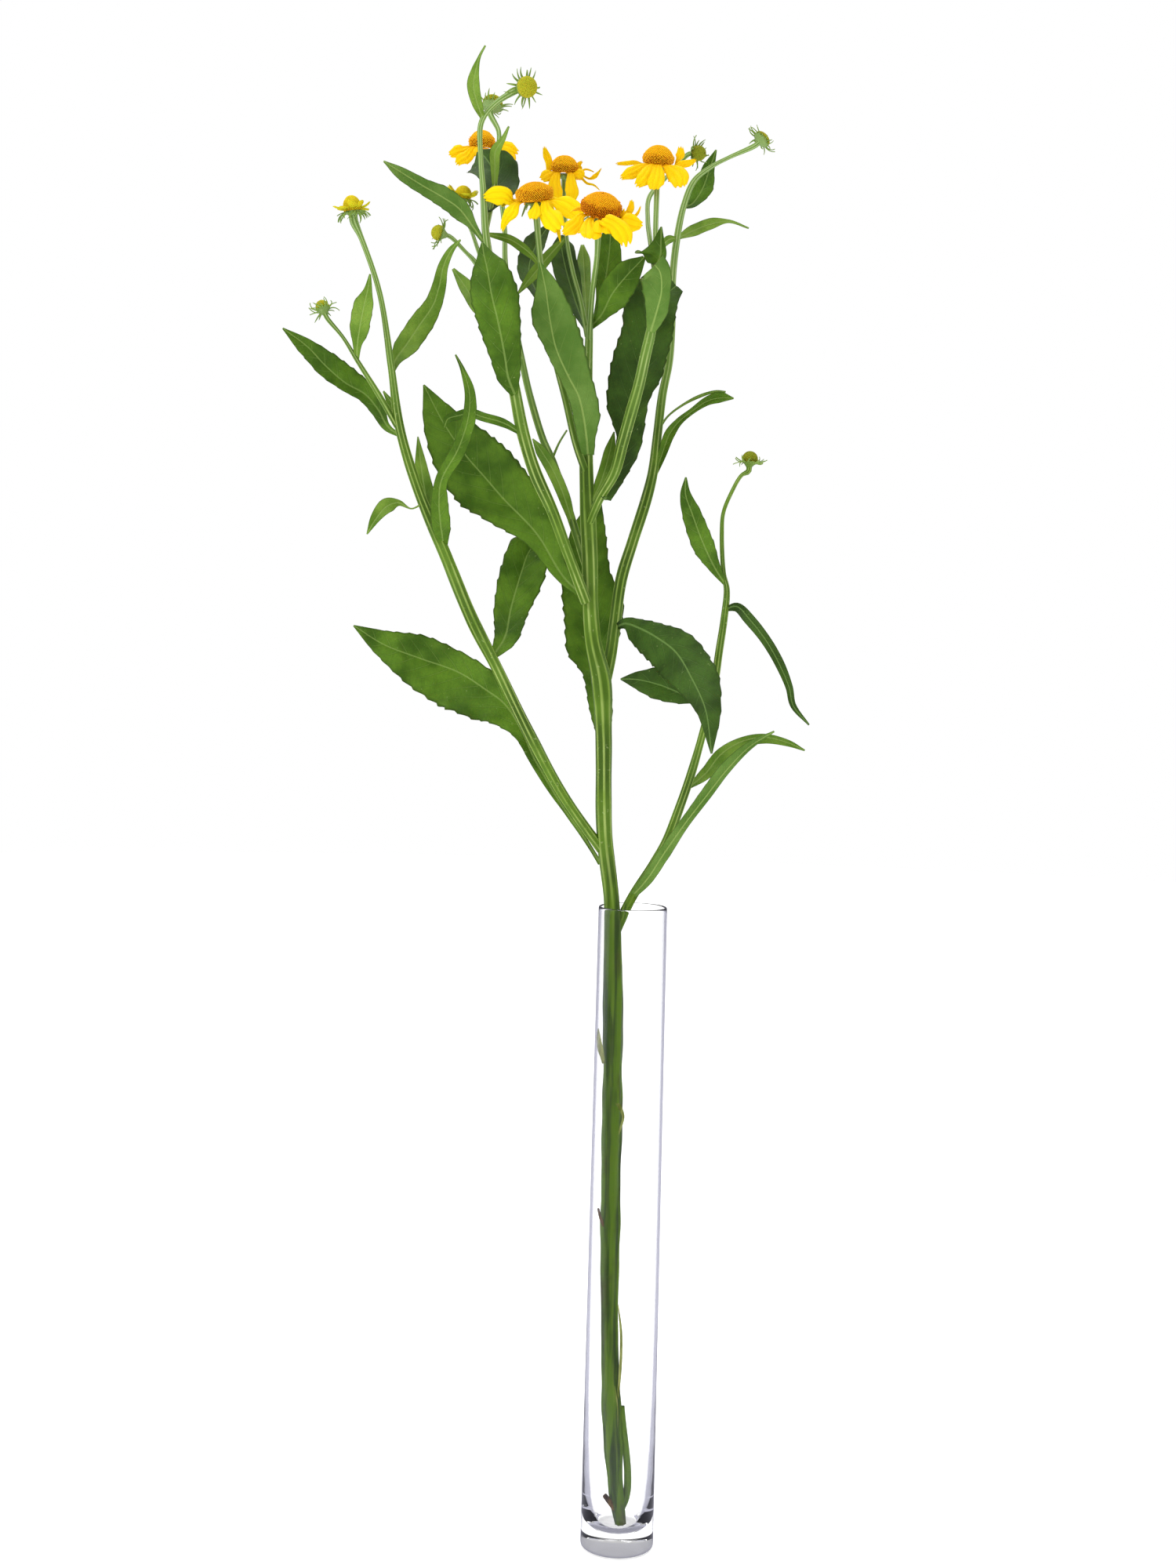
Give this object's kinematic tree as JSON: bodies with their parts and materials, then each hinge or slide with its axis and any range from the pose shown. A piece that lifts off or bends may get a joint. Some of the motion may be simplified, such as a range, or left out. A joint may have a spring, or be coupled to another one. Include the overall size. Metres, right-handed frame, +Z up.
{
  "type": "helenium stem",
  "caption": "Cut branching helenium stem with toothed leaves, open yellow blooms and green buds, leaning in a slim straight glass tube vase.",
  "frame": {"origin": "centre of the vase's flat underside, on the surface it stands on", "axes": "+Z up along the vase, +X to the viewer's right, -Y toward the front"},
  "size_m": [0.2859, 0.1484, 0.8043],
  "materials": {
    "glass": "gloss",
    "stem": "satin",
    "leaf": "satin",
    "ray": "matte",
    "disc": "matte",
    "bud": "matte"
  },
  "bodies": {
    "root": {"bloom_back_left_disc": "disc", "bloom_back_left_rays": "ray", "bloom_center_disc": "disc", "bloom_center_rays": "ray", "bloom_left_front_disc": "disc", "bloom_left_front_rays": "ray", "bloom_right_disc": "disc", "bloom_right_front_disc": "disc", "bloom_right_front_rays": "ray", "bloom_right_rays": "ray", "bud_far_left": "bud", "bud_far_right": "bud", "bud_left": "bud", "bud_low_right": "bud", "bud_right": "bud", "bud_top_back": "bud", "bud_top_front": "bud", "head_half_open": "disc", "head_opening_left": "disc", "leaf_behind_back_bloom": "leaf", "leaf_behind_fork_left": "leaf", "leaf_behind_fork_right": "leaf", "leaf_behind_left_bloom": "leaf", "leaf_behind_stem": "leaf", "leaf_dark_right": "leaf", "leaf_far_left": "leaf", "leaf_far_left_upright": "leaf", "leaf_far_right_drooping": "leaf", "leaf_far_right_upright": "leaf", "leaf_fork_right": "leaf", "leaf_front_center": "leaf", "leaf_front_left": "leaf", "leaf_front_low": "leaf", "leaf_front_low_back": "leaf", "leaf_front_right": "leaf", "leaf_great_left": "leaf", "leaf_left_inner": "leaf", "leaf_left_upright": "leaf", "leaf_low_right": "leaf", "leaf_low_right_back": "leaf", "leaf_lower_left": "leaf", "leaf_narrow_left": "leaf", "leaf_right_folded": "leaf", "leaf_right_small": "leaf", "leaf_top": "leaf", "leaf_twisted_left": "leaf", "leaf_under_bloom_left": "leaf", "leaf_under_right_bloom": "leaf", "leaf_upper_left": "leaf", "leaf_upper_right": "leaf", "main_stem": "stem", "shoot_back_left": "stem", "shoot_center_left": "stem", "shoot_far_right": "stem", "shoot_left": "stem", "shoot_right": "stem", "shoot_right_front": "stem", "vase": "glass"}
  },
  "joints": []
}
